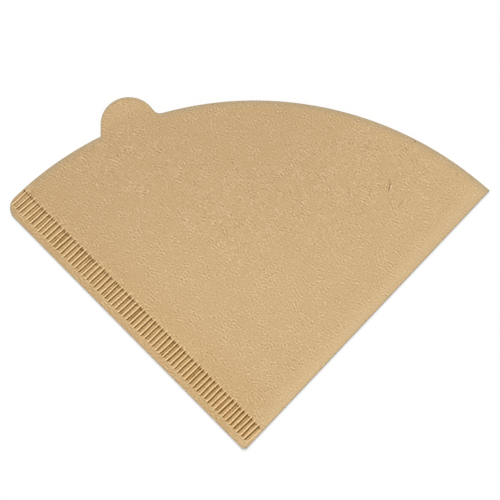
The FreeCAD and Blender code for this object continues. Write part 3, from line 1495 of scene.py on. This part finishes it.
@dataclass(frozen=True)
class UnbleachedPaper:
    """The finish of the sheet's faces."""

    grain: bpy.types.ShaderNodeTree
    marks: tuple[FibreMark, ...]
    light: Colour = srgb(232, 205, 163)
    middle: Colour = srgb(208, 176, 130)
    dark: Colour = srgb(178, 145, 99)
    # Painted shade towards the rim.
    rim_shade: Colour = srgb(245, 243, 242)
    warmed: Colour = srgb(252, 249, 243)
    # The crimp floor's colour: browning of pressed paper, and painted shade.
    pressed: Colour = srgb(194, 156, 102)
    # Painted shade in the crimp's grooves, in a browner hue.
    groove_brown_and_shade: Colour = srgb(178, 126, 34)
    # Painted highlight along the fold.
    fold_highlight: Colour = srgb(218, 190, 145)
    # Painted shade line along the cut edges.
    edge_shade: Colour = srgb(168, 158, 134)
    fleck: Colour = srgb(120, 88, 52)
    fleck_turn: float = 0.5
    fleck_stretch: float = 2.6
    fleck_scale: float = 170.0
    fleck_reach: tuple[float, float] = (0.03, 0.055)
    fleck_rarity: float = 0.94
    fleck_strength: float = 0.25
    roughness: float = 0.86
    roughness_sway: float = 0.05
    roughness_shade: float = 0.6
    specular: float = 0.25
    bump_strength: float = 0.8
    bump_distance: float = 0.10 * MM
    upper_face: float = 0.46 * MM

    def build(self) -> bpy.types.Material:
        """Builds the material.

        Returns:
            The material.
        """
        material, bench, shader = new_material("unbleached_paper")
        place = bench.add("ShaderNodeTexCoord").outputs["Object"]
        grain = bench.add("ShaderNodeGroup", place, node_tree=self.grain)
        shade = grain.outputs["Shade"]
        shades = (-self.roughness_shade, self.roughness_shade)
        roughness = (self.roughness + self.roughness_sway, self.roughness - self.roughness_sway)
        bump = bench.add("ShaderNodeBump")
        bench.fill(bump, {
            "Strength": self.bump_strength, "Distance": self.bump_distance, "Height": grain.outputs["Height"],
        })
        paper = self._treated(bench, self._grained(bench, shade))
        paper = bench.blend(self._flecks(bench, place), paper, self.fleck)
        bench.fill(shader, {
            "Base Color": self._marked(bench, place, paper),
            "Roughness": bench.remap(shade, shades, roughness),
            "Specular IOR Level": self.specular,
            "Normal": bump.outputs["Normal"],
        })
        return material

    def _grained(self, bench: NodeBench, shade: bpy.types.NodeSocket) -> bpy.types.NodeSocket:
        """Colours the bare paper by the shade of its grain.

        Args:
            bench: The material's bench.
            shade: The grain's shade, which is about 0.

        Returns:
            The colour: dark at -1, middling at 0 and light at 1.
        """
        lower = bench.remap(shade, (-1.0, 0.0), (0.0, 1.0), Ramp.STRAIGHT)
        upper = bench.remap(shade, (0.0, 1.0), (0.0, 1.0), Ramp.STRAIGHT)
        return bench.blend(upper, bench.blend(lower, self.dark, self.middle), self.light)

    def _treated(self, bench: NodeBench, paper: bpy.types.NodeSocket) -> bpy.types.NodeSocket:
        """Tints the paper by the sheet's marks: painted shade by the rim, the seam's warmer tone, a painted
        highlight along the fold, the crimp floor's browning and painted shade, painted highlights on the
        ridges' lit flanks, painted shade in the grooves and a painted shade line along the cut edges.

        Args:
            bench: The material's bench.
            paper: The bare paper's colour.

        Returns:
            The tinted colour.
        """
        layers = (
            # Painted shade towards the rim.
            (Mark.RIM_TONE, 1.0, self.rim_shade, Blend.TINT),
            (Mark.SEAM_TONE, 1.0, self.warmed, Blend.TINT),
            # Painted highlight along the fold.
            (Mark.FOLD_WEAR, 0.55, self.fold_highlight, Blend.COVER),
            # Browning and painted shade of the crimp's floor.
            (Mark.CRIMP_FLOOR, 0.5, self.pressed, Blend.COVER),
            # Painted highlight on the ridges' lit flanks.
            (Mark.CRIMP_FLANK, 0.6, self.light, Blend.COVER),
            # Painted shade in the crimp's grooves.
            (Mark.CRIMP_GROOVE, 0.9, self.groove_brown_and_shade, Blend.COVER),
            # Painted shade line along the cut edges.
            (Mark.CUT_WEAR, 0.7, self.edge_shade, Blend.COVER),
        )
        for mark, strength, colour, way in layers:
            noted = bench.add("ShaderNodeAttribute", attribute_name=mark.value).outputs["Fac"]
            paper = bench.blend(bench.maths("MULTIPLY", noted, strength), paper, colour, way)
        return paper

    def _flecks(self, bench: NodeBench, place: bpy.types.NodeSocket) -> bpy.types.NodeSocket:
        """Scatters a few short dark fibres.

        Args:
            bench: The material's bench.
            place: The coordinates to scatter them in.

        Returns:
            The mask of the fibres.
        """
        cells = bench.add("ShaderNodeTexVoronoi", voronoi_dimensions="2D")
        turned = bench.turned(place, self.fleck_turn, self.fleck_stretch)
        bench.fill(cells, {"Vector": turned, "Scale": self.fleck_scale})
        near = bench.remap(cells.outputs["Distance"], self.fleck_reach, (1.0, 0.0))
        tint = bench.add("ShaderNodeSeparateColor", cells.outputs["Color"])
        few = bench.maths("GREATER_THAN", tint.outputs["Red"], self.fleck_rarity)
        return bench.maths("MULTIPLY", bench.maths("MULTIPLY", near, few), self.fleck_strength)

    def _marked(
        self, bench: NodeBench, place: bpy.types.NodeSocket, paper: bpy.types.NodeSocket,
    ) -> bpy.types.NodeSocket:
        """Draws the fibre marks on the upper face.

        Args:
            bench: The material's bench.
            place: The coordinates to draw them in.
            paper: The paper's colour without them.

        Returns:
            The colour with them.
        """
        height = bench.add("ShaderNodeSeparateXYZ", place).outputs["Z"]
        flat = bench.vector("MULTIPLY", place, Vector((1.0, 1.0, 0.0)))
        above = bench.maths("GREATER_THAN", height, self.upper_face)
        for mark in self.marks:
            share = bench.maths("MULTIPLY", mark.mask(bench, flat), above)
            paper = bench.blend(share, paper, mark.colour)
        return paper


@dataclass(frozen=True)
class CutPaperEdge:
    """The finish of the cut edges, where the fibres are lighter and loose."""

    grain: bpy.types.ShaderNodeTree
    colour: Colour = srgb(214, 188, 148)
    shadow: Colour = srgb(188, 160, 120)
    shade_gain: float = 2.0
    mean_share: float = 0.5
    roughness: float = 0.95
    specular: float = 0.2

    def build(self) -> bpy.types.Material:
        """Builds the material.

        Returns:
            The material.
        """
        material, bench, shader = new_material("cut_paper_edge")
        place = bench.add("ShaderNodeTexCoord").outputs["Object"]
        grain = bench.add("ShaderNodeGroup", place, node_tree=self.grain)
        share = bench.maths("MULTIPLY_ADD", grain.outputs["Shade"], self.shade_gain, self.mean_share)
        bench.fill(shader, {
            "Base Color": bench.blend(share, self.shadow, self.colour),
            "Roughness": self.roughness,
            "Specular IOR Level": self.specular,
        })
        return material


@dataclass
class Studio:
    """The pale floor, the soft light and the camera."""

    plan: SheetPlan
    image_width: float = 500.0
    tip_x: float = 244.50
    tip_y: float = 450.48
    pixels_to_rim: float = 350.84
    focal_pixels: float = 2000.0
    pitch: float = math.radians(-15.723)
    yaw: float = math.radians(3.830)
    roll: float = math.radians(-0.034)
    sensor: float = 36.0
    floor_size: float = 6.0
    floor_drop: float = 0.02 * MM
    floor_glow: float = 0.6
    floor_tone: float = 0.8
    world_level: float = 0.35
    key_level: float = 0.65
    key_height: float = math.radians(35.0)
    key_from_left: float = math.radians(8.0)
    key_softness: float = math.radians(22.0)

    def build(self) -> None:
        """Sets the whole studio up."""
        self._floor()
        self._world()
        self._key()
        self._camera()
        bpy.context.scene.view_settings.view_transform = "Standard"

    def _floor(self) -> None:
        """Lays the floor just under the sheet. The camera sees it white, and it keeps shadows."""
        mesh = bmesh.new()
        bmesh.ops.create_grid(
            mesh, x_segments=1, y_segments=1, size=self.floor_size / 2.0,
            matrix=Matrix.Translation(UP * -self.floor_drop),
        )
        floor = mesh_in_scene("floor", mesh)
        material, bench, shader = new_material("white_floor")
        seen = self._seen_directly(bench)
        bench.fill(shader, {
            "Base Color": bench.blend(seen, grey(self.floor_tone), grey(1.0 - self.floor_glow)),
            "Emission Color": bench.blend(seen, grey(0.0), grey(self.floor_glow)),
            "Emission Strength": 1.0,
            "Roughness": 1.0,
            "Specular IOR Level": 0.0,
        })
        floor.data.materials.append(material)

    def _seen_directly(self, bench: NodeBench) -> bpy.types.NodeSocket:
        """Tells the camera's own rays from the others.

        Args:
            bench: The bench of the material or of the world.

        Returns:
            A mask that is 1 for rays from the camera, also through glass or off a mirror.
        """
        path = bench.add("ShaderNodeLightPath").outputs
        seen = bench.maths("MAXIMUM", path["Is Camera Ray"], path["Is Glossy Ray"])
        return bench.maths("MAXIMUM", seen, path["Is Transmission Ray"])

    def _world(self) -> None:
        """Surrounds the scene with even light, which the camera sees as plain white."""
        world = bpy.data.worlds.new("studio")
        world.use_nodes = True
        bench = NodeBench(world.node_tree)
        strength = bench.remap(self._seen_directly(bench), (0.0, 1.0), (self.world_level, 1.0))
        bench.fill(world.node_tree.nodes["Background"], {"Color": grey(1.0), "Strength": strength})
        bpy.context.scene.world = world

    def _key(self) -> None:
        """Adds the soft key light, from above the rim and a little from the left."""
        lamp = bpy.data.lights.new("key", "SUN")
        lamp.angle = self.key_softness
        lamp.energy = self.key_level * math.pi / math.sin(self.key_height)
        key = put_in_scene("key", lamp)
        flat = math.cos(self.key_height)
        towards = Vector((
            -math.sin(self.key_from_left) * flat,
            math.cos(self.key_from_left) * flat,
            math.sin(self.key_height),
        ))
        key.rotation_euler = towards.to_track_quat("Z", "Y").to_euler()
        key.location = towards

    def _camera(self) -> None:
        """Sets the camera so that the sheet fills the frame as in the photograph."""
        turn = (
            Matrix.Rotation(self.yaw, 3, "Y") @ Matrix.Rotation(self.pitch, 3, "X")
            @ Matrix.Rotation(self.roll, 3, "Z")
        )
        scale = self.plan.rim_radius / self.pixels_to_rim
        centre = self.image_width / 2.0
        tip_in_view = Vector(((self.tip_x - centre) * scale, (centre - self.tip_y) * scale, 0.0))
        back = Vector((0.0, 0.0, self.focal_pixels * scale))
        data = bpy.data.cameras.new("camera")
        data.sensor_width = self.sensor
        data.lens = self.focal_pixels / self.image_width * self.sensor
        camera = put_in_scene("camera", data)
        world_turn = turn.transposed()
        camera.rotation_euler = world_turn.to_euler()
        camera.location = self.plan.tip + UP * Surface.TOP.level + world_turn @ (back - tip_in_view)
        bpy.context.scene.camera = camera


def fibre_marks(plan: SheetPlan) -> tuple[FibreMark, ...]:
    """The marks that show on the upper face: a nick below the tab with a painted highlight beside it, and a
    few fibres.

    Args:
        plan: The sheet's plan.

    Returns:
        The marks.
    """
    brown = srgb(150, 114, 72)
    pale = srgb(236, 216, 182)
    return (
        FibreMark.on_sheet(plan, (101.9 * MM, -27.52), (100.5 * MM, -27.99), 0.45 * MM, brown, 0.60),
        FibreMark.on_sheet(plan, (100.5 * MM, -27.99), (98.0 * MM, -28.32), 0.45 * MM, brown, 0.90),
        # Painted highlight beside the nick.
        FibreMark.on_sheet(plan, (100.1 * MM, -28.42), (99.7 * MM, -28.42), 0.50 * MM, pale, 0.80),
        FibreMark.on_sheet(plan, (97.2 * MM, -31.92), (94.3 * MM, -31.78), 0.40 * MM, brown, 0.45),
        FibreMark.on_sheet(plan, (119.4 * MM, -28.46), (119.1 * MM, -28.50), 0.50 * MM, brown, 0.80),
        FibreMark.on_sheet(plan, (117.1 * MM, -37.60), (116.8 * MM, -37.62), 0.45 * MM, brown, 0.60),
        FibreMark.on_sheet(plan, (97.1 * MM, -9.35), (96.8 * MM, -9.40), 0.45 * MM, brown, 0.60),
    )


def main() -> None:
    """Builds the filter and its studio, and logs the sheet's faces and ridges."""
    logging.basicConfig(level=logging.INFO, format="%(name)s: %(message)s")
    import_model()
    plan = SheetPlan.from_node(NODE)
    paper_filter = PaperFilter(plan)
    sheet = paper_filter.build()
    across_seam = math.atan2(plan.in_from_edge.y, plan.in_from_edge.x)
    grain = CrepedGrain(across_seam).build()
    sheet.data.materials.append(UnbleachedPaper(grain, fibre_marks(plan)).build())
    sheet.data.materials.append(CutPaperEdge(grain).build())
    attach(sheet, "root")
    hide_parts(NODE)
    LOG.info("%s: %d faces, %d ridges", sheet.name, len(sheet.data.polygons), paper_filter.crimp.count)
    Studio(plan).build()


if __name__ == "__main__":
    main()
